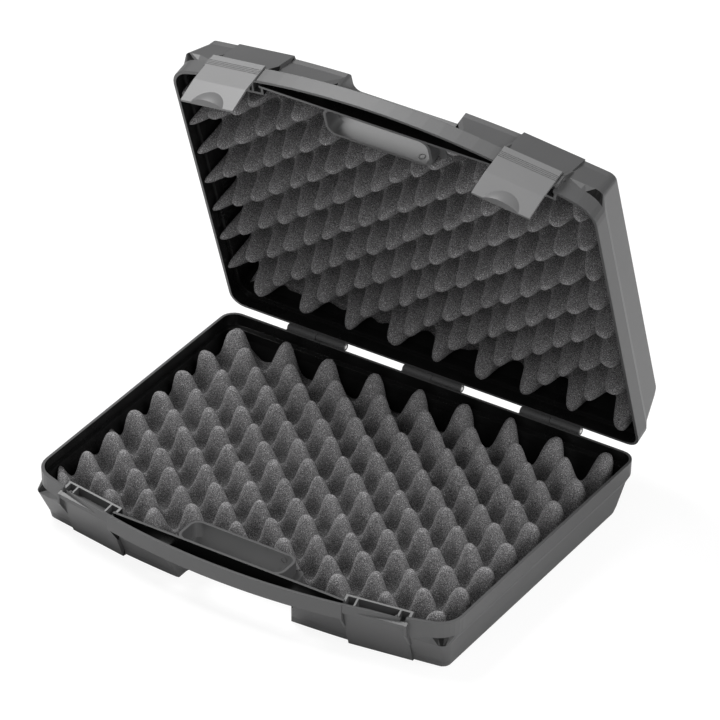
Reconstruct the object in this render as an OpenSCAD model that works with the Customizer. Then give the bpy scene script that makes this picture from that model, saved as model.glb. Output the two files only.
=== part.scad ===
// Carry case for an otoscope set: two moulded shells hinged at the back,
// bowed handle bar at the front, two snap latches and a convoluted foam pad in each shell.
// X runs along the hinge, Y to the back, Z up; the origin is the middle of the base's underside.

/* [Shells] */
// Width of the case along the hinge
case_w = 400; // [360:1:440]
// Depth of the rim from its side corners to the hinge edge
rim_d = 280; // [250:1:320]
// Height of one shell
shell_h = 48; // [42:1:60]
// How far the front of the rim bows out at its middle
rim_bow = 34.5; // [32:0.5:38]
// Wall thickness of the moulded shells
wall = 2.4; // [1.8:0.1:3]
// Height of the rim band and of the handle bar
band_h = 14; // [12:0.5:18]
// Height of the blend below the band
blend_h = 5; // [3:0.5:8]
// Radius of the rim at the front corners
rim_r_front = 22; // [16:1:28]
// Radius of the rim at the hinge corners
rim_r_back = 13; // [9:1:18]
// Gap between the two rims when the case is closed
rim_gap = 0.4; // [0.3:0.1:0.8]
// Opening angle of the lid as it stands
lid_open = 72.8; // [60:0.1:100]

/* [Lower body] */
// Draw-in of the sides from the rim to the underside
side_in = 8; // [6:0.5:10]
// Draw-in of the hinge wall from the rim to the underside
back_in = 12; // [9:0.5:15]
// Step under the rim band on the sides
side_step = 1.6; // [1:0.1:2.5]
// Step under the rim band on the hinge wall
back_step = 3.6; // [2:0.1:5]
// How far the front of the body bows out at the underside
low_bow = 11; // [9:0.5:15]
// Set-back of the front corners of the body at the underside
low_back = 5; // [1:0.5:7]
// Corner radius of the body
low_r = 7; // [5:0.5:10]
// Rounding of the lower edge
edge_r = 4; // [3:0.5:6]
// How far the front just under the band stands before the front of the underside
under_bow = 9; // [4:0.5:10]

/* [Handle] */
// Width of the hand hole
hole_w = 96; // [80:1:110]
// Depth of the hand hole between the bar and the foam
hole_d = 25; // [21:0.5:28]
// Corner radius of the hand hole
hole_r = 7; // [4:0.5:10]
// How far the inner wall of the bar stands in front of the corner line
bar_in = 16; // [14:0.5:18]
// Width of the recess under the bar between the two feet
feet_gap = 108; // [104:1:120]
// Edge radius of the feet
foot_r = 6; // [3:0.5:8]

/* [Latches] */
// Distance of a latch from the middle of the case
latch_x = 137; // [133:1:140]
// Set-forward of the latch keeper's middle
keeper_y = 11.9; // [11:0.1:13]
// Angle at which keepers and latches follow the bow
latch_turn = 8.5; // [7:0.5:10]
// Length of a keeper over its end gussets
keeper_w = 58; // [54:1:62]
// Depth of a keeper from lip to foam side
keeper_d = 15; // [14:0.2:17]
// Height of a keeper
keeper_h = 9.5; // [9:0.1:10.5]
// How far the lip of a keeper lies below its foam side
lip_drop = 4.5; // [3:0.1:5]
// Height of the lip
lip_h = 3.6; // [3:0.1:4]
// How far the lip overhangs the seat of the latch
lip_over = 1.6; // [1.2:0.1:2]
// Distance between the two ribs in a keeper
rib_gap = 37; // [30:1:40]
// Thickness of the ribs and of the latch plate
rib_t = 1.8; // [1.4:0.1:2.2]
// Depth of the end gussets from the rim
gusset_h = 28; // [24:0.5:32]
// Height of the latch pivot over the rim
pivot_z = 13.2; // [13:0.1:14]
// Length of a latch below its pivot
latch_l = 48.4; // [46:0.2:50]
// Depth of the crease in the latch plate under the rim
crease_z = 13.5; // [12:0.5:16]
// How far the lower panel of a latch leans in
panel_in = 3.2; // [0:0.2:4]
// Radius of the thumb dome
dome_r = 16; // [13:0.5:18]
// Bulge of the thumb dome
dome_h = 5.5; // [3:0.5:7]
// Radius of the latch pivot stubs
stub_r = 1.5; // [1.2:0.1:1.8]

/* [Hinges] */
// Distance between neighbouring hinges
hinge_step = 114.5; // [100:0.5:125]
// Length of one hinge over both barrels
hinge_w = 57; // [48:1:64]
// Radius of a hinge barrel
barrel_r = 3.3; // [3:0.1:3.6]
// Distance of the hinge axis behind the rim
axis_back = 4.8; // [4.6:0.1:5.4]
// Radius of a hinge pin
pin_r = 1.5; // [1.2:0.1:1.8]

/* [Foam] */
// Distance between neighbouring cones across the case
cone_x = 43.4; // [40:0.2:46]
// Distance between neighbouring cones front to back
cone_y = 35.3; // [32:0.2:38]
// Height of the cones over the valleys
cone_h = 27; // [18:1:30]
// Thickness of the foam below the valleys
foam_web = 16; // [12:1:18]

/* [Hidden] */
// Radial clearance of a running fit, and the gap between parts that pass each other
fit = 0.05;
play = 0.4;
// Gap between a foam pad and the walls around it
foam_gap = 0.3;
// How far the rim's thin edge stands proud of the ledge inside
ledge_z = 11;
// Extra length by which a cut runs past the face it opens
over = 1;
// Places of the hinge axis, of the case's middle and of the hand hole's foam side
half_w = case_w / 2;
hinge_y = rim_d + axis_back;
hinge_z = rim_gap / 2;
centre_y = rim_d / 2;
hole_back = hole_d - bar_in;
// Gap between the two barrels of a hinge
barrel_gap = 0.5;
// Lower edge of a keeper's lip and the set-back of the latch pivot behind the lip's front
lip_low = lip_drop + lip_h;
pivot_in = 3.4;
// Places of the latch pivot and of the plate's inner face before a keeper's middle, and the latch's width
pivot_y = pivot_in - keeper_d / 2;
plate_y = -keeper_d / 2 - play;
latch_w = keeper_w - 2 * (wall + play);
// Top of the latch plate over its pivot, and the reach of the pocket that it swings into
plate_up = 2.6;
pocket_up = 7;
pocket_in = 4.4;
// Latch seat behind the lip: its front at the lip's lower edge and at the underside
seat_top = lip_over - keeper_d / 2;
seat_low = 8.1;
// Catch under the lip: its height and its clearance behind the lip's front
catch_h = 1;
catch_in = 1.2;
// Depth, height and spacing of the grip ribs on a latch
grip_d = 0.3;
grip_h = 0.7;
grip_step = 1.6;
// Flat side of the foam, and the middle row of its lattice
foam_z = -(shell_h - wall - foam_gap);
lattice_y = 136;
// Points on a corner and on the bow
corner_steps = 6;
bow_steps = 24;

// Sections of the body: height, half width, hinge edge, front middle, front side, front and back radius.
function section(z, side, back, mid, corner, r_front, r_back) =
    [z, half_w - side, rim_d - back, mid, corner, r_front, r_back];

// Outer sections from the underside up to the rim.
outer = [
    section(-shell_h, side_in + edge_r / 2, back_in + edge_r, -low_bow + edge_r / 2,
        low_back + edge_r / 2, low_r, rim_r_back - 2),
    section(-shell_h + edge_r / 3, side_in + edge_r / 6, back_in + edge_r / 3, -low_bow, low_back,
        low_r, rim_r_back - 2),
    section(-shell_h + edge_r * 1.6, side_in - 0.5, back_in - edge_r / 3, -low_bow - 0.5, low_back - 0.5,
        low_r, rim_r_back - 2),
    section(-band_h - blend_h, side_step + 1, back_step + 1, -low_bow - under_bow, -low_back, low_r + 1,
        rim_r_back - 1),
    section(-band_h, side_step / 4, back_step / 8, -rim_bow, 0, rim_r_front, rim_r_back),
    section(0, 0, 0, -rim_bow, 0, rim_r_front, rim_r_back)
];

// Inner sections: the outer ones drawn in by the wall, with a ledge under the rim's thin edge.
function drawn_in(s, z, d) = [z, s[1] - d, s[2] - d, s[3] + d, s[4] + d, max(s[5] - d, 1.5), max(s[6] - d, 1.5)];
inner = [
    drawn_in(outer[1], -shell_h + wall, wall + 1.2),
    drawn_in(outer[2], -shell_h + edge_r * 1.6, wall),
    drawn_in(outer[3], -band_h - blend_h, wall),
    drawn_in([0, outer[3][1], outer[3][2], -rim_bow, 0, rim_r_front, rim_r_back], -band_h + wall, wall),
    drawn_in([0, outer[3][1], outer[3][2], -rim_bow, 0, rim_r_front, rim_r_back], -ledge_z, wall),
    drawn_in(outer[5], -ledge_z + 0.6, wall),
    drawn_in(outer[5], over, wall)
];

// Outline of a section: front bow, front corner, side, hinge corners and back round to the start.
function arc(cx, cy, r, from, to, n) =
    [for (i = [0:n]) let (a = from + (to - from) * i / n) [cx + r * cos(a), cy + r * sin(a)]];
function bow_radius(s) = (s[1] * s[1] + pow(s[4] - s[3], 2)) / (2 * (s[4] - s[3]));
function outline(s) =
    let (w = s[1], back = s[2], rf = s[5], rb = s[6], big = bow_radius(s), cy = s[3] + big,
        fx = w - rf, fy = cy - sqrt(pow(big - rf, 2) - fx * fx), af = atan2(fy - cy, fx))
    concat(
        arc(0, cy, big, 180 - af + 0.4, 360 + af - 0.4, bow_steps),
        arc(fx, fy, rf, af, 0, corner_steps),
        arc(w - rb, back - rb, rb, 0, 90, corner_steps),
        arc(rb - w, back - rb, rb, 90, 180, corner_steps),
        arc(-fx, fy, rf, 180, 180 - af, corner_steps)
    );

// Skin over a stack of sections with equal point counts, closed at both ends.
module loft(sections) {
    rings = [for (s = sections) [for (p = outline(s)) [p[0], p[1], s[0]]]];
    n = len(rings[0]);
    last = len(rings) - 1;
    points = [for (ring = rings) each ring];
    sides = [for (k = [0:last - 1], i = [0:n - 1])
        let (a = k * n + i, b = k * n + (i + 1) % n)
        each [[a, a + n, b + n], [a, b + n, b]]];
    bottom = [for (i = [0:n - 1]) i];
    top = [for (i = [n - 1:-1:0]) last * n + i];
    polyhedron(points = points, faces = concat([bottom, top], sides));
}

// Plan of the recess under the bar: rounded at the back, flared round the feet's front edges.
module recess_plan(grow) {
    half = feet_gap / 2 + grow;
    r = hole_r;
    back = hole_back + grow;
    front = -low_bow - over;
    polygon(concat(
        arc(half - r, back - r, r, 0, 90, corner_steps),
        arc(r - half, back - r, r, 90, 180, corner_steps),
        grow > 0 ? [[-half, -rim_bow - over]]
            : concat(arc(-half - foot_r, front + foot_r, foot_r, 0, -70, corner_steps),
                [[-half - 3 * foot_r, front - foot_r], [-half - 3 * foot_r, -rim_bow - over]]),
        grow > 0 ? [[half, -rim_bow - over]]
            : concat([[half + 3 * foot_r, -rim_bow - over], [half + 3 * foot_r, front - foot_r]],
                arc(half + foot_r, front + foot_r, foot_r, 250, 180, corner_steps))
    ));
}

// Rounded rectangle between two corners.
module rounded(x0, y0, x1, y1, r) {
    polygon(concat(
        arc(x1 - r, y0 + r, r, -90, 0, corner_steps),
        arc(x1 - r, y1 - r, r, 0, 90, corner_steps),
        arc(x0 + r, y1 - r, r, 90, 180, corner_steps),
        arc(x0 + r, y0 + r, r, 180, 270, corner_steps)
    ));
}

// Hand hole with the recess below the bar; grown by the wall it is the block that the cavity leaves standing.
module hand_hole(grow) {
    low = -shell_h - over;
    translate([0, 0, low])
        linear_extrude(over - low)
            rounded(-hole_w / 2 - grow, -bar_in - grow, hole_w / 2 + grow, hole_back + grow, hole_r + grow);
    translate([0, 0, low])
        linear_extrude(shell_h + over - band_h + grow)
            recess_plan(grow);
}

// Frame of a latch keeper, with its length along X and its lip towards -Y.
module at_keeper(side) {
    translate([side * latch_x, -keeper_y, 0])
        rotate([0, 0, side * latch_turn])
            children();
}

// Profile across a keeper, from Y front to back and Z up, extruded along its length.
module across(length, at = 0) {
    translate([at - length / 2, 0, 0])
        rotate([90, 0, 90])
            linear_extrude(length)
                children();
}

// Keeper block: a tray body that slopes to its lip, with a tapering gusset at each end.
module keeper_block() {
    front = -keeper_d / 2;
    across(keeper_w)
        polygon([[front, -lip_drop], [-front, 0], [-front, -keeper_h], [seat_top, -keeper_h],
            [seat_top, -lip_low], [front, -lip_low]]);
    for (s = [-1, 1])
        across(wall, s * (keeper_w - wall) / 2)
            polygon([[front - play, -lip_drop], [-front, 0], [-front, -band_h], [seat_at(gusset_h) + over, -gusset_h],
                [seat_at(gusset_h), -gusset_h], [front - play, -band_h]]);
}

// Three open cells of a keeper.
module keeper_cells() {
    half = keeper_w / 2 - wall;
    edge = rib_gap / 2;
    for (cell = [[-half, -edge - rib_t / 2], [-edge + rib_t / 2, edge - rib_t / 2], [edge + rib_t / 2, half]])
        translate([cell[0], seat_top + rib_t, -keeper_h + rib_t])
            cube([cell[1] - cell[0], keeper_d - lip_over - 2 * rib_t, keeper_h]);
}

// Front of the latch seat at a depth below the rim.
function seat_at(z) = seat_top + (seat_low - seat_top) * (z - lip_low) / (shell_h - lip_low);

// Wall of the latch seat, from the lip to the underside.
module seat_wall() {
    across(keeper_w - wall)
        polygon([[seat_top, -lip_low], [seat_low, -shell_h], [seat_low + 2 * wall, -shell_h],
            [seat_top + 3 * wall, -lip_low]]);
}

// Space before the latch seat, open to the front; in the lid it has a pocket for the latch's barrel. Grown by the
// wall it is the block that the cavity leaves standing.
module latch_seat(side, grow) {
    z0 = keeper_h - grow;
    z1 = pivot_z + pocket_up + grow;
    y = pivot_y + pocket_in + grow;
    across(keeper_w - 2 * wall + 2 * grow) {
        polygon([[-2 * keeper_d, over], [-keeper_d / 2, over], [-keeper_d / 2, -lip_low],
            [seat_top + grow, -lip_low], [seat_low + grow, -shell_h], [-2 * keeper_d, -shell_h]]);
        if (side > 0)
            polygon([[-keeper_d, -z0], [y, -z0], [y, -z1], [-keeper_d, -z1]]);
    }
}

// Barrels on one half of each hinge, with the web that joins them to the rim.
module barrels(side) {
    long = (hinge_w - barrel_gap) / 2;
    for (i = [-1:1])
        translate([i * hinge_step + (side < 0 ? -hinge_w / 2 : barrel_gap / 2), 0, 0]) {
            translate([0, hinge_y, hinge_z])
                rotate([0, 90, 0])
                    cylinder(r = barrel_r, h = long, $fn = 32);
            translate([0, rim_d - wall, hinge_z - barrel_r])
                cube([long, axis_back + wall, barrel_r - hinge_z]);
        }
}

// Bores through the barrels.
module barrel_bores() {
    for (i = [-1:1])
        translate([i * hinge_step - hinge_w / 2 - over, hinge_y, hinge_z])
            rotate([0, 90, 0])
                cylinder(r = pin_r + fit, h = hinge_w + 2 * over, $fn = 32);
}

// Moulded shell with its rim at Z = 0 and the opening up; side tells which barrel halves it carries.
module shell(side) {
    difference() {
        union() {
            difference() {
                union() {
                    loft(outer);
                    for (s = [-1, 1])
                        at_keeper(s)
                            seat_wall();
                }
                difference() {
                    loft(inner);
                    hand_hole(wall);
                    for (s = [-1, 1])
                        at_keeper(s) {
                            keeper_block();
                            latch_seat(side, wall);
                        }
                    bar_wall();
                }
            }
            for (s = [-1, 1])
                at_keeper(s)
                    keeper_block();
            barrels(side);
        }
        hand_hole(0);
        for (s = [-1, 1])
            at_keeper(s) {
                keeper_cells();
                latch_seat(side, 0);
            }
        barrel_bores();
    }
}

// Inner wall of the bar from keeper to keeper.
module bar_wall() {
    half = latch_x - keeper_w / 2 + wall;
    translate([-half, -bar_in - wall, -shell_h])
        cube([2 * half, wall, shell_h]);
}

// Places a shell's own frame in the case: rim plane at the height of the base's rim, origin in the middle.
module in_base() {
    translate([0, -centre_y, shell_h])
        children();
}

// Mirrors a shell over the parting plane and turns it open about the hinge axis.
module in_lid() {
    in_base()
        translate([0, hinge_y, hinge_z])
            rotate([-lid_open, 0, 0])
                translate([0, -hinge_y, -hinge_z])
                    translate([0, 0, rim_gap])
                        mirror([0, 0, 1])
                            children();
}

// Height of the foam over the floor at a point: cones at every other crossing of the lattice.
function wave(t) = 0.5 + 0.5 * cos(t);
function cone(u, v) = pow(max(wave(u) * wave(v), (1 - wave(u)) * (1 - wave(v))), 0.85);
function foam_height(x, y) =
    foam_web + cone_h * cone(360 * (x / cone_x - 0.5), 360 * (y - lattice_y) / cone_y);

// Moves a grid line onto a nearby wall, or leaves it where it is.
function snapped(t, walls, reach) =
    let (near = [for (w = walls) if (abs(t - w) < reach) w]) len(near) > 0 ? near[0] : t;

// Front wall of a section at a distance from the middle.
function front_at(s, x) = s[3] + bow_radius(s) - sqrt(pow(bow_radius(s), 2) - x * x);

// Convoluted pad as one skin: a grid of heights over the floor. Its edges lean with the drafted walls, it
// leaves out the cells taken by the hand hole and the keepers, and sides and a flat bottom close it.
module foam() {
    step_x = cone_x / 4;
    step_y = cone_y / 4;
    rise = -ledge_z - foam_z;
    side = inner[0][1] - foam_gap;
    back = inner[0][2] - foam_gap;
    hole_side = feet_gap / 2 + wall + foam_gap;
    deep = seat_low + wall;
    bar_side = latch_x - keeper_w / 2 * cos(latch_turn) - deep * sin(latch_turn) - foam_gap;
    hole_end = hole_back + wall + foam_gap;
    front = front_at(inner[0], bar_side) + foam_gap;
    lean_side = (inner[4][1] - inner[0][1]) / rise;
    lean_back = (inner[4][2] - inner[0][2]) / rise;
    lean_front = min((front_at(inner[0], bar_side) - front_at(inner[2], bar_side)) / (inner[2][0] - inner[0][0]),
        (front + bar_in - foam_gap) / (foam_web + cone_h));
    kx = floor(side / step_x - 0.6);
    keeper_back = max(front_at(inner[0], kx * step_x),
        deep * cos(latch_turn) - keeper_y + keeper_w / 2 * sin(latch_turn)) + foam_gap;
    x_lines = concat([-side],
        [for (k = [-kx:kx]) snapped(k * step_x, [-bar_side, -hole_side, hole_side, bar_side], step_x / 2)], [side]);
    j0 = ceil((front - lattice_y) / step_y + 0.4);
    j1 = floor((back - lattice_y) / step_y - 0.4);
    y_lines = concat([front],
        [for (k = [j0:j1]) snapped(lattice_y + k * step_y, [keeper_back, hole_end], step_y / 2)], [back]);
    m = len(x_lines);
    n = len(y_lines);
    jk = search(keeper_back, y_lines)[0];
    jh = search(hole_end, y_lines)[0];
    ends = [for (x = [-bar_side, -hole_side, hole_side, bar_side]) search(x, x_lines)[0]];
    filled = function(i, j) i >= ends[1] && i < ends[2] ? j >= jh : i >= ends[0] && i < ends[3] || j >= jk;
    // A point of the pad at a height over the floor; the four corners are drawn in clear of the shell's rounding.
    spot = function(i, j, h)
        let (end = i == 0 || i == m - 1, corner = end && (j == n - 1 || j == jk),
            cut = corner ? 0.35 * (j == jk ? low_r : rim_r_back) : 0,
            x = x_lines[i] + (end ? sign(x_lines[i]) * (lean_side * h - cut) : 0),
            y = y_lines[j] + (j == n - 1 ? lean_back * h - cut : j == 0 ? -lean_front * h : corner ? cut + wall : 0))
        [x, y, foam_z + h];
    top = [for (j = [0:n - 1], i = [0:m - 1]) spot(i, j, foam_height(x_lines[i], y_lines[j]))];
    low = [for (j = [0:n - 1], i = [0:m - 1]) spot(i, j, 0)];
    t = m * n;
    cell = function(i, j) i >= 0 && i < m - 1 && j >= 0 && j < n - 1 && filled(i, j);
    edge = function(i, j) !(cell(i, j) && cell(i - 1, j) && cell(i, j - 1) && cell(i - 1, j - 1));
    run_end = function(i, j) cell(i, j) ? run_end(i + 1, j) : i;
    polyhedron(
        points = concat(top, low),
        faces = [for (j = [0:n - 2], i = [0:m - 2]) if (cell(i, j))
            let (a = j * m + i, b = a + 1, c = a + m, d = c + 1)
            each concat(
                (i + j) % 2 == 0 ? [[a, c, d], [a, d, b]] : [[a, c, b], [b, c, d]],
                cell(i, j - 1) ? [] : [[t + a, a, b], [t + a, b, t + b]],
                cell(i, j + 1) ? [] : [[t + d, d, c], [t + d, c, t + c]],
                cell(i - 1, j) ? [] : [[t + c, c, a], [t + c, a, t + a]],
                cell(i + 1, j) ? [] : [[t + b, b, d], [t + b, d, t + d]],
                cell(i - 1, j) ? [] : floor_strip(i, run_end(i, j), j, m, t, edge)
            )]
    );
}

// Triangles of the pad's flat bottom along one run of cells, through the edge points on both of its long sides.
function floor_strip(i0, i1, j, m, t, edge) =
    let (near = [for (i = [i0:i1]) if (i == i0 || i == i1 || edge(i, j)) t + j * m + i],
        far = [for (i = [i0:i1]) if (i == i0 || i == i1 || edge(i, j + 1)) t + (j + 1) * m + i],
        last = near[len(near) - 1])
    concat([for (k = [0:len(near) - 2]) [far[0], near[k], near[k + 1]]],
        [for (k = [0:len(far) - 2]) [last, far[k + 1], far[k]]]);

// Profile of a latch: barrel and arm, face plate with a crease, leaning lower panel, and the catch.
module latch_profile() {
    y0 = plate_y;
    y1 = plate_y + panel_in;
    top = pivot_z + plate_up;
    bottom = pivot_z - latch_l;
    catch_z = -lip_low - rim_gap - play;
    translate([pivot_y, pivot_z])
        circle(r = barrel_r - play, $fn = 32);
    polygon([[pivot_y, pivot_z - rib_t / 2], [y0, pivot_z - rib_t / 2], [y0, -crease_z], [y1, bottom],
        [y1 - rib_t, bottom], [y0 - rib_t, -crease_z], [y0 - rib_t, top], [pivot_y, top]]);
    polygon([[y0 - rib_t / 2, catch_z], [catch_in - keeper_d / 2, catch_z],
        [catch_in - keeper_d / 2, catch_z - catch_h], [y0 - rib_t / 2, catch_z - 3 * catch_h]]);
}

// Latch in the frame of its keeper, with Z up over the lid's rim turned down.
module latch_body() {
    bottom = pivot_z - latch_l;
    sphere_r = (dome_r * dome_r + dome_h * dome_h) / (2 * dome_h);
    face = plate_y + panel_in - rib_t;
    difference() {
        union() {
            across(latch_w)
                latch_profile();
            translate([0, pivot_y, pivot_z])
                rotate([0, 90, 0])
                    cylinder(r = stub_r, h = latch_w + 2 * (play + wall - fit), center = true, $fn = 32);
            intersection() {
                translate([0, face + sphere_r - dome_h, bottom])
                    sphere(r = sphere_r, $fn = 48);
                translate([-dome_r, face - dome_h, bottom])
                    cube([2 * dome_r, dome_h + rib_t / 2, dome_r + over]);
            }
        }
        intersection() {
            translate([0, face + sphere_r - dome_h, bottom - over])
                sphere(r = sphere_r - rib_t, $fn = 48);
            translate([-dome_r, face - dome_h, bottom + rib_t])
                cube([2 * dome_r, sphere_r, dome_r]);
        }
        for (i = [0:3])
            translate([0, plate_y - rib_t, pivot_z - barrel_r - grip_step * i])
                cube([latch_w + over, 2 * grip_d, grip_h], center = true);
    }
}

module base_shell() {
    color([0.13, 0.13, 0.14])
        in_base()
            shell(-1);
}

module lid_shell() {
    color([0.15, 0.15, 0.16])
        in_lid()
            difference() {
                shell(1);
                for (s = [-1, 1])
                    at_keeper(s)
                        translate([0, pivot_y, -pivot_z])
                            rotate([0, 90, 0])
                                cylinder(r = stub_r + fit, h = keeper_w + 2 * over, center = true, $fn = 32);
            }
}

module base_foam() {
    color([0.3, 0.3, 0.31])
        in_base()
            foam();
}

module lid_foam() {
    color([0.3, 0.3, 0.31])
        in_lid()
            foam();
}

module hinge_pin(i) {
    color("silver")
        in_base()
            translate([i * hinge_step, hinge_y, hinge_z])
                rotate([0, 90, 0])
                    cylinder(r = pin_r, h = hinge_w, center = true, $fn = 32);
}

module hinge_pin_left() {
    hinge_pin(-1);
}

module hinge_pin_centre() {
    hinge_pin(0);
}

module hinge_pin_right() {
    hinge_pin(1);
}

module latch(side) {
    color([0.45, 0.45, 0.46])
        in_lid()
            at_keeper(side)
                mirror([0, 0, 1])
                    latch_body();
}

module latch_left() {
    latch(-1);
}

module latch_right() {
    latch(1);
}

base_shell();
lid_shell();
base_foam();
lid_foam();
hinge_pin_left();
hinge_pin_centre();
hinge_pin_right();
latch_left();
latch_right();
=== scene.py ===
"""Looks of an otoscope carry case: moulded shells, snap latches, hinge pins and convoluted foam pads."""

import logging
import math
from dataclasses import dataclass, field
from enum import Enum

import bpy
import numpy as np
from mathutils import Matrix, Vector


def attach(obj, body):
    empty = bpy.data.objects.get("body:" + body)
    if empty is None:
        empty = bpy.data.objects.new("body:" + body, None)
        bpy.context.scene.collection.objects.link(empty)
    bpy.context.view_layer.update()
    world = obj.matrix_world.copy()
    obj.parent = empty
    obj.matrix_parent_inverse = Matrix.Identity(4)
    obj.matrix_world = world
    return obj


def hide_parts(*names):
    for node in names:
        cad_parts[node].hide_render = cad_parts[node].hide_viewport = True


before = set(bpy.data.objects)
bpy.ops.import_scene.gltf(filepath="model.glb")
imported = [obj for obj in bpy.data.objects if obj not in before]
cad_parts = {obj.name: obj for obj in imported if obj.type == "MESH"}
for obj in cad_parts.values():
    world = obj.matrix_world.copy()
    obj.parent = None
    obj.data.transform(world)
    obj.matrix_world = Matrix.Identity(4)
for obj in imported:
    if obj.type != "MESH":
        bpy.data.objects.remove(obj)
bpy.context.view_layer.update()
LOG = logging.getLogger("case")
MM = 0.001


class Side(Enum):
    """The two halves of the case."""

    BASE = "base"
    LID = "lid"


@dataclass(frozen=True)
class CaseSizes:
    """Driving sizes of the case in millimetres, as the shells are moulded."""

    width: float = 400.0
    rim_depth: float = 280.0
    shell_height: float = 48.0
    rim_gap: float = 0.4
    axis_back: float = 4.8
    lid_open: float = 72.8

    @property
    def centre_y(self) -> float:
        """Distance from the rim's corner line to the middle of the case."""
        return self.rim_depth / 2


class Placing:
    """Turns points of a shell's own frame (rim at Z = 0, opening up) into the case's frame."""

    def __init__(self, sizes: CaseSizes) -> None:
        """Keeps the sizes that place the shells.

        Args:
            sizes: Driving sizes of the case.
        """
        self.sizes = sizes

    def place(self, points: np.ndarray, side: Side) -> np.ndarray:
        """Moves points from a shell's frame to the case's frame.

        The base is only shifted. The lid is mirrored over the parting plane and turned open about the hinge
        axis.

        Args:
            points: Array of points in millimetres, one row each.
            side: Which half of the case the points belong to.

        Returns:
            The points in metres in the case's frame.
        """
        s = self.sizes
        out = np.array(points, dtype=float)
        if side is Side.LID:
            hinge = np.array([0.0, s.rim_depth + s.axis_back, s.rim_gap / 2])
            out[:, 2] = s.rim_gap - out[:, 2]
            out = out - hinge
            turn = math.radians(-s.lid_open)
            y, z = out[:, 1].copy(), out[:, 2].copy()
            out[:, 1] = y * math.cos(turn) - z * math.sin(turn)
            out[:, 2] = y * math.sin(turn) + z * math.cos(turn)
            out = out + hinge
        out[:, 1] -= s.centre_y
        out[:, 2] += s.shell_height
        return out * MM

    def lift(self, points: np.ndarray, side: Side) -> np.ndarray:
        """Moves points from the case's frame back to a shell's own frame.

        Args:
            points: Array of points in metres, one row each.
            side: Which half of the case the points belong to.

        Returns:
            The points in millimetres in the shell's frame.
        """
        origin, *axes = self.place(np.vstack([np.zeros(3), np.eye(3)]), side)
        turn = (np.array(axes) - origin) / MM
        return (np.asarray(points, float) - origin) @ turn.T / MM


def new_mesh(name: str, points: np.ndarray, faces: np.ndarray, smooth: bool = True) -> bpy.types.Object:
    """Makes a mesh object at the origin from arrays.

    Args:
        name: Name of the piece.
        points: Vertex positions in metres, one row each.
        faces: Vertex numbers, one row for each triangle or quad.
        smooth: Whether the faces are shaded smooth.

    Returns:
        The new object, linked into the scene.
    """
    count, sides = faces.shape
    mesh = bpy.data.meshes.new(name)
    mesh.vertices.add(len(points))
    mesh.vertices.foreach_set("co", np.asarray(points, np.float32).ravel())
    mesh.loops.add(count * sides)
    mesh.loops.foreach_set("vertex_index", faces.astype(np.int32).ravel())
    mesh.polygons.add(count)
    mesh.polygons.foreach_set("loop_start", np.arange(0, count * sides, sides, dtype=np.int32))
    mesh.update(calc_edges=True)
    mesh.validate()
    mesh.polygons.foreach_set("use_smooth", np.full(len(mesh.polygons), smooth))
    obj = bpy.data.objects.new(name, mesh)
    bpy.context.scene.collection.objects.link(obj)
    return obj


class Groups:
    """Shader node groups that several finishes share."""

    _made: dict[str, bpy.types.NodeTree] = {}

    @classmethod
    def _open(
        cls, name: str, inputs: dict[str, float], outputs: dict[str, str]
    ) -> tuple[bpy.types.NodeTree, bool]:
        """Finds a group or starts it with its sockets.

        Args:
            name: Name of the group.
            inputs: Input names with their default values.
            outputs: Output names with their socket types.

        Returns:
            The group, and whether it is new.
        """
        if name in cls._made:
            return cls._made[name], False
        tree = bpy.data.node_groups.new(name, "ShaderNodeTree")
        for label, value in inputs.items():
            socket = tree.interface.new_socket(label, in_out="INPUT", socket_type="NodeSocketFloat")
            socket.default_value = value
        for label, kind in outputs.items():
            tree.interface.new_socket(label, in_out="OUTPUT", socket_type=kind)
        cls._made[name] = tree
        return tree, True

    @classmethod
    def moulded_grain(cls) -> bpy.types.NodeTree:
        """Fine spark-eroded grain with slow mottling.

        The height is a fine noise on Object coordinates; the mottle is a slow noise from 0 to 1.

        Returns:
            The group, with outputs Height and Mottle.
        """
        tree, new = cls._open(
            "moulded_grain",
            {"Grain Scale": 900.0, "Mottle Scale": 14.0},
            {"Height": "NodeSocketFloat", "Mottle": "NodeSocketFloat"},
        )
        if new:
            n, link = tree.nodes, tree.links.new
            put, out = n.new("NodeGroupInput"), n.new("NodeGroupOutput")
            coord = n.new("ShaderNodeTexCoord")
            grain, mottle = n.new("ShaderNodeTexNoise"), n.new("ShaderNodeTexNoise")
            grain.inputs["Detail"].default_value = 3.0
            mottle.inputs["Detail"].default_value = 5.0
            for noise, label in ((grain, "Grain Scale"), (mottle, "Mottle Scale")):
                link(coord.outputs["Object"], noise.inputs["Vector"])
                link(put.outputs[label], noise.inputs["Scale"])
            link(grain.outputs["Fac"], out.inputs["Height"])
            link(mottle.outputs["Fac"], out.inputs["Mottle"])
        return tree


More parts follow.
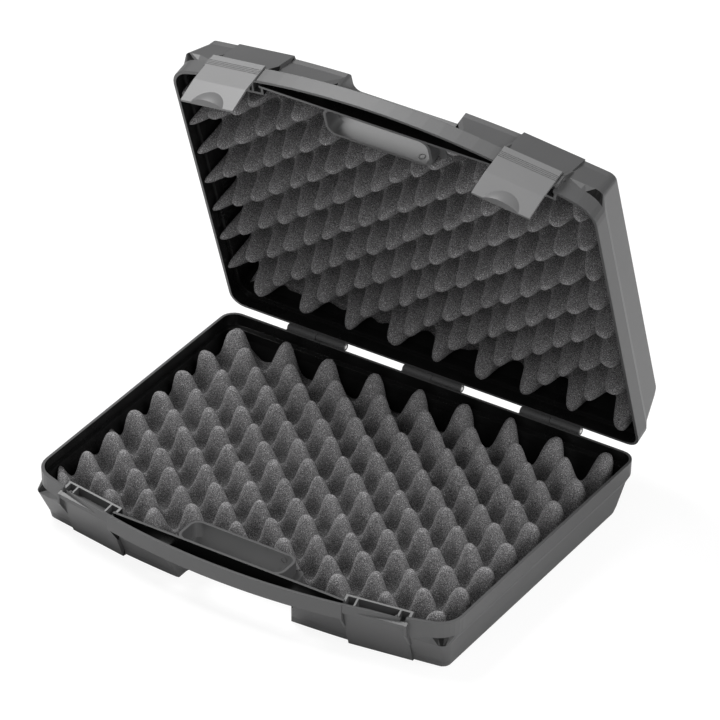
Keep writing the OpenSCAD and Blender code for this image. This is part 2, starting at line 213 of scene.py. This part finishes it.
@dataclass(frozen=True)
class Moulded:
    """Satin moulded plastic with a spark-eroded grain."""

    name: str
    color: tuple[float, float, float]
    roughness: float
    grain: float
    mottle: float = 0.12
    edge: float = 0.5
    gloss: float = 0.5
    spread: float = 0.05
    grain_depth: float = 0.0001

    def material(self) -> bpy.types.Material:
        """Builds the material.

        Returns:
            A material whose colour and roughness vary slowly and whose grain is a bump.
        """
        mat = bpy.data.materials.new(self.name)
        mat.use_nodes = True
        n, link = mat.node_tree.nodes, mat.node_tree.links.new
        bsdf = n["Principled BSDF"]
        group = n.new("ShaderNodeGroup")
        group.node_tree = Groups.moulded_grain()
        shade = n.new("ShaderNodeMix")
        shade.data_type = "RGBA"
        shade.inputs["A"].default_value = (*[c * (1 - self.mottle) for c in self.color], 1)
        shade.inputs["B"].default_value = (*[c * (1 + self.mottle) for c in self.color], 1)
        rough = n.new("ShaderNodeMapRange")
        rough.inputs["To Min"].default_value = self.roughness - self.spread
        rough.inputs["To Max"].default_value = self.roughness + self.spread
        bump = n.new("ShaderNodeBump")
        bump.inputs["Strength"].default_value = self.grain
        bump.inputs["Distance"].default_value = self.grain_depth
        link(group.outputs["Mottle"], shade.inputs["Factor"])
        link(group.outputs["Mottle"], rough.inputs["Value"])
        edge = n.new("ShaderNodeBevel")
        edge.samples = 6
        edge.inputs["Radius"].default_value = self.edge * MM
        link(edge.outputs["Normal"], bump.inputs["Normal"])
        link(group.outputs["Height"], bump.inputs["Height"])
        link(shade.outputs["Result"], bsdf.inputs["Base Color"])
        link(rough.outputs["Result"], bsdf.inputs["Roughness"])
        link(bump.outputs["Normal"], bsdf.inputs["Normal"])
        bsdf.inputs["Specular IOR Level"].default_value = self.gloss
        return mat


@dataclass(frozen=True)
class OpenCellFoam:
    """Charcoal open-cell foam: grey struts with dark pores and sparse painted glints, with painted shade in
    the valleys.
    """

    name: str
    dark: float = 0.07
    grey: float = 0.2
    pale: float = 0.85
    cell: float = 1500.0
    valley_shade: float = 0.42

    def material(self) -> bpy.types.Material:
        """Builds the material.

        A fine noise on Object coordinates picks the tone from pore to painted glint. The mesh's rise
        attribute, 0 in the valleys and 1 on the tips, dims it towards the valleys as painted shade.

        Returns:
            A rough material with pores as a bump.
        """
        mat = bpy.data.materials.new(self.name)
        mat.use_nodes = True
        n, link = mat.node_tree.nodes, mat.node_tree.links.new
        bsdf = n["Principled BSDF"]
        coord = n.new("ShaderNodeTexCoord")
        speckle = n.new("ShaderNodeTexNoise")
        speckle.inputs["Scale"].default_value = self.cell
        speckle.inputs["Detail"].default_value = 2.0
        tone = n.new("ShaderNodeValToRGB")
        ramp = tone.color_ramp
        # The pale stop paints glints of light on the struts into the colour.
        stops = ((0.36, self.dark), (0.52, self.grey), (0.66, self.grey * 2), (0.76, self.pale))
        while len(ramp.elements) < len(stops):
            ramp.elements.new(1.0)
        for element, (place, value) in zip(ramp.elements, stops):
            element.position = place
            element.color = (value, value * 0.985, value, 1)
        # Painted shade: the colour is multiplied down towards the valley floor, where the fingers shade each
        # other.
        rise = n.new("ShaderNodeAttribute")
        rise.attribute_name = "rise"
        painted_shade_factor = n.new("ShaderNodeMapRange")
        painted_shade_factor.interpolation_type = "SMOOTHSTEP"
        painted_shade_factor.inputs["From Max"].default_value = 0.8
        painted_shade_factor.inputs["To Min"].default_value = self.valley_shade
        painted_shade_factor.inputs["To Max"].default_value = 1.0
        shade = n.new("ShaderNodeMix")
        shade.data_type = "RGBA"
        shade.blend_type = "MULTIPLY"
        shade.inputs["Factor"].default_value = 1.0
        cells = n.new("ShaderNodeTexVoronoi")
        cells.inputs["Scale"].default_value = self.cell * 0.7
        bump = n.new("ShaderNodeBump")
        bump.inputs["Strength"].default_value = 0.6
        bump.inputs["Distance"].default_value = 0.0005
        link(coord.outputs["Object"], cells.inputs["Vector"])
        link(coord.outputs["Object"], speckle.inputs["Vector"])
        link(speckle.outputs["Fac"], tone.inputs["Fac"])
        link(tone.outputs["Color"], shade.inputs["A"])
        link(rise.outputs["Fac"], painted_shade_factor.inputs["Value"])
        link(painted_shade_factor.outputs["Result"], shade.inputs["B"])
        link(shade.outputs["Result"], bsdf.inputs["Base Color"])
        link(cells.outputs["Distance"], bump.inputs["Height"])
        link(bump.outputs["Normal"], bsdf.inputs["Normal"])
        bsdf.inputs["Roughness"].default_value = 0.95
        bsdf.inputs["Specular IOR Level"].default_value = 0.15
        return mat


@dataclass(frozen=True)
class DrawnSteel:
    """Bright drawn wire of the hinge pins."""

    name: str = "drawn_steel"
    color: tuple[float, float, float] = (0.62, 0.61, 0.6)

    def material(self) -> bpy.types.Material:
        """Builds the material.

        Returns:
            A metal whose roughness varies with a fine noise.
        """
        mat = bpy.data.materials.new(self.name)
        mat.use_nodes = True
        n, link = mat.node_tree.nodes, mat.node_tree.links.new
        bsdf = n["Principled BSDF"]
        group = n.new("ShaderNodeGroup")
        group.node_tree = Groups.moulded_grain()
        rough = n.new("ShaderNodeMapRange")
        rough.inputs["To Min"].default_value = 0.25
        rough.inputs["To Max"].default_value = 0.4
        link(group.outputs["Height"], rough.inputs["Value"])
        link(rough.outputs["Result"], bsdf.inputs["Roughness"])
        bsdf.inputs["Base Color"].default_value = (*self.color, 1)
        bsdf.inputs["Metallic"].default_value = 1.0
        return mat


@dataclass(frozen=True)
class Lattice:
    """Where the cones of a pad stand: at every other crossing of two families of lines."""

    start: tuple[float, float]
    across: tuple[float, float]
    along: tuple[float, float]

    def steps(self, x: np.ndarray, y: np.ndarray) -> tuple[np.ndarray, np.ndarray]:
        """Counts a point's steps along both families.

        The two steps solve start + i * across + j * along = (x, y).

        Args:
            x: Distances across the case.
            y: Distances from the corner line to the back.

        Returns:
            The steps i and j, with whole numbers at the crossings.
        """
        (ax, ay), (bx, by) = self.across, self.along
        dx, dy = x - self.start[0], y - self.start[1]
        det = ax * by - ay * bx
        return (dx * by - dy * bx) / det, (ax * dy - ay * dx) / det


@dataclass
class FoamPad:
    """One convoluted pad: rounded fingers over a flat web, cut out for the hand hole and the keepers."""

    side: Side
    placing: Placing
    lattice: Lattice
    cone: float = 32.0
    web: float = 11.0
    sharp: float = 1.55
    floor: float = -45.3
    half_width: float = 187.2
    back: float = 262.5
    front: float = -2.0
    keeper_back: float = 8.5
    hole_side: float = 56.9
    hole_end: float = 11.9
    bar_side: float = 105.6
    lean_side: float = 0.21
    lean_back: float = 0.285
    lean_front: float = 0.31
    corner: float = 14.0
    spacing: float = 1.5
    smooth_share: float = 0.8
    plain_share: float = 0.2
    fore_from: float = 60.0
    fore_power: int = 6
    rear_from: float = 136.0
    edge_power: int = 8

    def height(self, x: np.ndarray, y: np.ndarray) -> np.ndarray:
        """Height of the pad over its flat side.

        The product of two cosines peaks at every other crossing. Raised to a power and mixed with its own
        smooth step it gives fingers with round tips and rounded valleys. Slow sines shift the crossings a
        little and vary the height.

        Args:
            x: Distances across the case.
            y: Distances from the corner line to the back.

        Returns:
            The heights in millimetres.
        """
        i, j = self.lattice.steps(x, y)
        i = i + 0.035 * np.sin(0.11 * y + 1.3) + 0.03 * np.sin(0.23 * x + 0.17 * y)
        j = j + 0.035 * np.sin(0.09 * x + 0.4) + 0.03 * np.sin(0.19 * y - 0.21 * x)
        t = (0.5 + 0.5 * np.cos(np.pi * i) * np.cos(np.pi * j)) ** self.sharp
        tall = 1 + 0.03 * np.sin(0.07 * x + 0.13 * y) * np.sin(0.11 * x - 0.05 * y)
        return self.web + self.cone * tall * (self.smooth_share * t * t * (3 - 2 * t) + self.plain_share * t)

    def build(self) -> bpy.types.Object:
        """Builds the pad as a closed skin and makes it replace the plain solid.

        The skin is a grid of heights. Its edges lean with the drafted walls, and its square corners are
        pulled in to round ones.

        Returns:
            The foam piece.
        """
        x = np.linspace(-self.half_width, self.half_width, int(2 * self.half_width / self.spacing) + 1)
        y = np.linspace(self.front, self.back, int((self.back - self.front) / self.spacing) + 1)
        for line, stops in ((x, (-self.bar_side, -self.hole_side, self.hole_side, self.bar_side)),
                            (y, (self.keeper_back, self.hole_end))):
            for stop in stops:
                line[np.abs(line - stop).argmin()] = stop
        gx, gy = np.meshgrid(x, y)
        rows, cols = gx.shape
        mid_x = np.abs(gx[:-1, :-1] + gx[1:, 1:]) / 2
        mid_y = (gy[:-1, :-1] + gy[1:, 1:]) / 2
        keep = np.where(mid_x < self.hole_side, mid_y > self.hole_end,
                        (mid_x < self.bar_side) | (mid_y > self.keeper_back))
        h = self.height(gx, gy)
        reach = np.abs(gx) - (self.half_width - self.corner)
        rear = np.where(gy > self.hole_end + self.corner, gy - (self.back - self.corner),
                        self.keeper_back + self.corner - gy)
        both = (reach > 0) & (rear > 0)
        pull = np.where(both, 1 - np.maximum(reach, rear) / np.hypot(reach, np.where(both, rear, 1)), 0)
        px = gx - np.sign(gx) * pull * np.where(both, reach, 0)
        py = gy - np.where(gy > self.hole_end + self.corner, 1, -1) * pull * np.where(both, rear, 0)
        outward = np.clip(np.abs(px) / self.half_width, 0, 1)
        lean_x = self.lean_side * outward ** self.edge_power * np.sign(px)
        fore = np.clip((self.fore_from - py) / (self.fore_from - self.front), 0, 1) ** self.fore_power
        rear_lean = np.clip((py - self.rear_from) / (self.back - self.rear_from), 0, 1) ** self.edge_power
        lean_y = self.lean_back * rear_lean - np.where(np.abs(gx) <= self.bar_side, self.lean_front, 0) * fore
        top = np.stack([px + lean_x * h, py + lean_y * h, self.floor + h], -1).reshape(-1, 3)
        low = np.stack([px, py, np.full_like(px, self.floor)], -1).reshape(-1, 3)
        index = np.arange(rows * cols).reshape(rows, cols)
        a, b, c, d = index[:-1, :-1], index[:-1, 1:], index[1:, 1:], index[1:, :-1]
        size = rows * cols
        faces = [np.stack([a, b, c, d], -1)[keep], np.stack([d, c, b, a], -1)[keep] + size]
        padded = np.pad(keep, 1)
        for dx, dy, p, q in ((0, -1, a, b), (1, 0, b, c), (0, 1, c, d), (-1, 0, d, a)):
            near = padded[1 + dy:padded.shape[0] - 1 + dy, 1 + dx:padded.shape[1] - 1 + dx]
            wall = keep & ~near
            faces.append(np.stack([q, p, p + size, q + size], -1)[wall])
        faces = np.concatenate(faces)
        points = np.concatenate([top, low])
        used, faces = np.unique(faces, return_inverse=True)
        faces = faces.reshape(-1, 4)
        # rise drives the painted valley shade in the foam's colour.
        rise = np.concatenate([(h.ravel() - self.web) / self.cone, np.zeros(size)])[used]
        if self.side is Side.LID:
            faces = faces[:, ::-1]
        placed = self.placing.place(points[used], self.side)
        obj = new_mesh(f"{self.side.value}_convoluted_foam", placed, faces)
        obj.data.attributes.new("rise", "FLOAT", "POINT").data.foreach_set("value", rise.astype(np.float32))
        obj.data.materials.append(OpenCellFoam(f"{self.side.value}_foam_cells").material())
        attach(obj, self.side.value)
        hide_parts(f"{self.side.value}_foam")
        return obj


@dataclass
class RoundMark:
    """Small raised ring, as an ejector leaves it on the foam-side wall of the hand hole."""

    side: Side
    placing: Placing
    centre: tuple[float, float, float] = (36.0, 9.0, -6.0)
    radius: float = 2.6
    bead: float = 0.45
    ring_steps: int = 48
    bead_steps: int = 16

    def build(self, material: bpy.types.Material) -> bpy.types.Object:
        """Builds the ring as a torus that is half sunk in the wall.

        A point of the torus lies at (radius + bead * cos v) round the centre in X and Z and at bead * sin v
        in Y.

        Args:
            material: Finish of the shell.

        Returns:
            The ring.
        """
        nu, nv = self.ring_steps, self.bead_steps
        u, v = np.meshgrid(np.arange(nu) * 2 * np.pi / nu, np.arange(nv) * 2 * np.pi / nv, indexing="ij")
        r = self.radius + self.bead * np.cos(v)
        ring = np.stack([r * np.cos(u), self.bead * np.sin(v), r * np.sin(u)], -1)
        points = ring.reshape(-1, 3) + self.centre
        k = np.arange(nu * nv).reshape(nu, nv)
        right, up = np.roll(k, -1, 0), np.roll(k, -1, 1)
        faces = np.stack([k, up, np.roll(right, -1, 1), right], -1).reshape(-1, 4)
        if self.side is Side.LID:
            faces = faces[:, ::-1]
        obj = new_mesh(f"{self.side.value}_ejector_ring", self.placing.place(points, self.side), faces)
        obj.data.materials.append(material)
        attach(obj, self.side.value)
        return obj


@dataclass
class Studio:
    """White sweep, soft lamps and the camera of the photograph."""

    azimuth: float = 33.147
    elevation: float = 33.406
    distance: float = 4637.18
    target: tuple[float, float, float] = (22.45, 0.0, 154.39)
    lens: float = 290.79
    aim: tuple[float, float, float] = (0.0, 0.0, 0.12)
    fill: float = 0.22
    glow: float = 1.1
    glow_share: float = 0.8
    floor_half: float = 6.0

    def camera(self) -> None:
        """Makes the camera and looks at the case from the photograph's angle."""
        data = bpy.data.cameras.new("photo_camera")
        data.sensor_width = 36.0
        data.lens = self.lens
        data.clip_start, data.clip_end = 0.1, 50.0
        cam = bpy.data.objects.new("photo_camera", data)
        bpy.context.scene.collection.objects.link(cam)
        a, e = math.radians(self.azimuth), math.radians(self.elevation)
        back = Vector((math.sin(a) * math.cos(e), -math.cos(a) * math.cos(e), math.sin(e)))
        cam.location = (Vector(self.target) + back * self.distance) * MM
        cam.rotation_mode = "QUATERNION"
        cam.rotation_quaternion = (-back).to_track_quat("-Z", "Y")
        bpy.context.scene.camera = cam

    def lamp(self, name: str, place: tuple[float, float, float], size: float, power: float) -> None:
        """Adds a square soft lamp that points at the case.

        Args:
            name: Name of the lamp.
            place: Position in metres.
            size: Edge length in metres.
            power: Power in watts.
        """
        data = bpy.data.lights.new(name, "AREA")
        data.size = size
        data.energy = power
        lamp = bpy.data.objects.new(name, data)
        bpy.context.scene.collection.objects.link(lamp)
        lamp.location = place
        lamp.rotation_mode = "QUATERNION"
        lamp.rotation_quaternion = (Vector(self.aim) - Vector(place)).to_track_quat("-Z", "Y")

    def world(self) -> None:
        """Makes a white world, dimmer for the light that it throws than for the camera."""
        world = bpy.data.worlds.new("white_world")
        bpy.context.scene.world = world
        world.use_nodes = True
        n, link = world.node_tree.nodes, world.node_tree.links.new
        back = n["Background"]
        back.inputs["Color"].default_value = (1, 1, 1, 1)
        path = n.new("ShaderNodeLightPath")
        level = n.new("ShaderNodeMapRange")
        level.inputs["To Min"].default_value = self.fill
        level.inputs["To Max"].default_value = 1.0
        link(path.outputs["Is Camera Ray"], level.inputs["Value"])
        link(level.outputs["Result"], back.inputs["Strength"])

    def floor(self) -> None:
        """Makes the pale floor, which shows white to the camera apart from the case's soft shadow."""
        half = self.floor_half
        points = np.array([[-half, -half, 0], [half, -half, 0], [half, half, 0], [-half, half, 0]])
        obj = new_mesh("studio_floor", points, np.array([[0, 1, 2, 3]]))
        mat = bpy.data.materials.new("white_sweep")
        mat.use_nodes = True
        n, link = mat.node_tree.nodes, mat.node_tree.links.new
        bsdf = n["Principled BSDF"]
        bsdf.inputs["Base Color"].default_value = (0.9, 0.9, 0.9, 1)
        bsdf.inputs["Roughness"].default_value = 0.8
        glow = n.new("ShaderNodeEmission")
        path = n.new("ShaderNodeLightPath")
        share = n.new("ShaderNodeMath")
        share.operation = "MULTIPLY"
        share.inputs[1].default_value = self.glow_share
        glow.inputs["Strength"].default_value = self.glow
        mix = n.new("ShaderNodeMixShader")
        link(path.outputs["Is Camera Ray"], share.inputs[0])
        link(share.outputs[0], mix.inputs["Fac"])
        link(bsdf.outputs[0], mix.inputs[1])
        link(glow.outputs[0], mix.inputs[2])
        link(mix.outputs[0], n["Material Output"].inputs["Surface"])
        obj.data.materials.append(mat)

    def build(self) -> None:
        """Sets the view transform and builds the whole studio."""
        bpy.context.scene.view_settings.view_transform = "Standard"
        self.camera()
        self.world()
        self.floor()
        self.lamp("key_lamp", (-1.3, 0.1, 2.3), 1.2, 66.0)
        self.lamp("right_lamp", (2.6, -0.2, 1.8), 1.4, 46.0)
        self.lamp("front_lamp", (0.2, -2.8, 1.4), 1.2, 13.0)


@dataclass
class ShellFinish:
    """Satin finish outside and gloss finish inside on the faces of one moulded shell."""

    side: Side
    placing: Placing
    keeper: tuple[float, float, float] = (137.0, -11.9, 8.5)
    keeper_half: float = 28.8
    keeper_reach: tuple[float, float] = (-20.0, 7.3)
    channel_half: float = 108.0
    channel_reach: tuple[float, float] = (-19.6, -17.4)
    channel_low: float = -13.0
    hole_half: float = 57.0
    hole_reach: tuple[float, float] = (-16.3, 9.6)
    lined: tuple[float, float] = (-46.0, -0.3)

    def inner_faces(self, mesh: bpy.types.Mesh) -> np.ndarray:
        """Finds the faces that line the shell.

        A face lines the shell when it looks to the shell's middle or up, or is the front of the bar's inner
        wall. Faces of the hand hole, of the keepers and of the rim's edge don't count.

        Args:
            mesh: Mesh of the shell in the case's frame.

        Returns:
            One truth value for each face.
        """
        count = len(mesh.polygons)
        centres, normals = np.empty(count * 3, np.float32), np.empty(count * 3, np.float32)
        mesh.polygons.foreach_get("center", centres)
        mesh.polygons.foreach_get("normal", normals)
        centres, normals = centres.reshape(-1, 3), normals.reshape(-1, 3)
        spot = self.placing.lift(centres, self.side)
        look = self.placing.lift(centres + normals * MM, self.side) - spot
        x, y, z = spot.T
        from_mid = y - self.placing.sizes.centre_y
        inward = -(look[:, 0] * x + look[:, 1] * from_mid) / np.hypot(x, from_mid) > 0.1
        near, far = self.channel_reach
        channel = (np.abs(x) < self.channel_half) & (y > near) & (y < far)
        channel &= (look[:, 1] < -0.5) & (z > self.channel_low)
        near, far = self.hole_reach
        hole = (np.abs(x) < self.hole_half) & (y > near) & (y < far)
        low, high = self.lined
        lines = (inward | (look[:, 2] > 0.5) | channel) & (z > low) & (z < high) & ~hole
        kx, ky, turn = self.keeper
        near, far = self.keeper_reach
        for sign in (-1, 1):
            a = math.radians(sign * turn)
            u = (x - sign * kx) * math.cos(a) + (y - ky) * math.sin(a)
            v = (y - ky) * math.cos(a) - (x - sign * kx) * math.sin(a)
            lines &= ~((np.abs(u) < self.keeper_half) & (v < far) & (v > near))
        return lines

    def dress(self, satin: bpy.types.Material, gloss: bpy.types.Material) -> None:
        """Puts both finishes on the shell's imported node.

        Args:
            satin: Finish of the outside.
            gloss: Finish of the inside.
        """
        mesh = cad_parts[f"{self.side.value}_shell"].data
        mesh.materials.clear()
        mesh.materials.append(satin)
        mesh.materials.append(gloss)
        lines = self.inner_faces(mesh)
        mesh.polygons.foreach_set("material_index", lines.astype(np.int32))
        mesh.update()
        LOG.info("%s shell: %d of %d faces line it", self.side.value, lines.sum(), len(lines))


@dataclass
class Case:
    """The whole case: finishes on the moulded parts and the soft pads that replace the plain solids."""

    sizes: CaseSizes = field(default_factory=CaseSizes)

    def dress(self, node: str, material: bpy.types.Material) -> None:
        """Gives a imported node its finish.

        Args:
            node: Name of the node.
            material: Finish for all of its faces.
        """
        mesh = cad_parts[node].data
        mesh.materials.clear()
        mesh.materials.append(material)
        LOG.info("finish %s on %s", material.name, node)

    def build(self) -> None:
        """Dresses the moulded parts and builds the pads and the ejector rings."""
        placing = Placing(self.sizes)
        satin = Moulded("satin_shell", (0.08, 0.08, 0.081), 0.42, 0.3).material()
        gloss = Moulded("gloss_lining", (0.006, 0.006, 0.006), 0.28, 0.05, gloss=0.3).material()
        latch = Moulded("satin_latch", (0.14, 0.14, 0.141), 0.45, 0.2).material()
        steel = DrawnSteel().material()
        for node in ("latch_left", "latch_right"):
            self.dress(node, latch)
        for node in ("hinge_pin_left", "hinge_pin_centre", "hinge_pin_right"):
            self.dress(node, steel)
        lattices = {
            Side.BASE: Lattice((-198.6, 272.07), (21.67, 0.38), (0.22, -17.63)),
            Side.LID: Lattice((-189.5, 63.7), (21.4, 0.3), (0.0, 17.15)),
        }
        for side in Side:
            ShellFinish(side, placing).dress(satin, gloss)
            obj = FoamPad(side, placing, lattices[side]).build()
            LOG.info("pad %s with %d faces", obj.name, len(obj.data.polygons))
            RoundMark(side, placing).build(satin)


def main() -> None:
    """Builds the studio and the case."""
    logging.basicConfig(level=logging.INFO, format="%(name)s: %(message)s")
    Studio().build()
    Case().build()


if __name__ == "__main__":
    main()
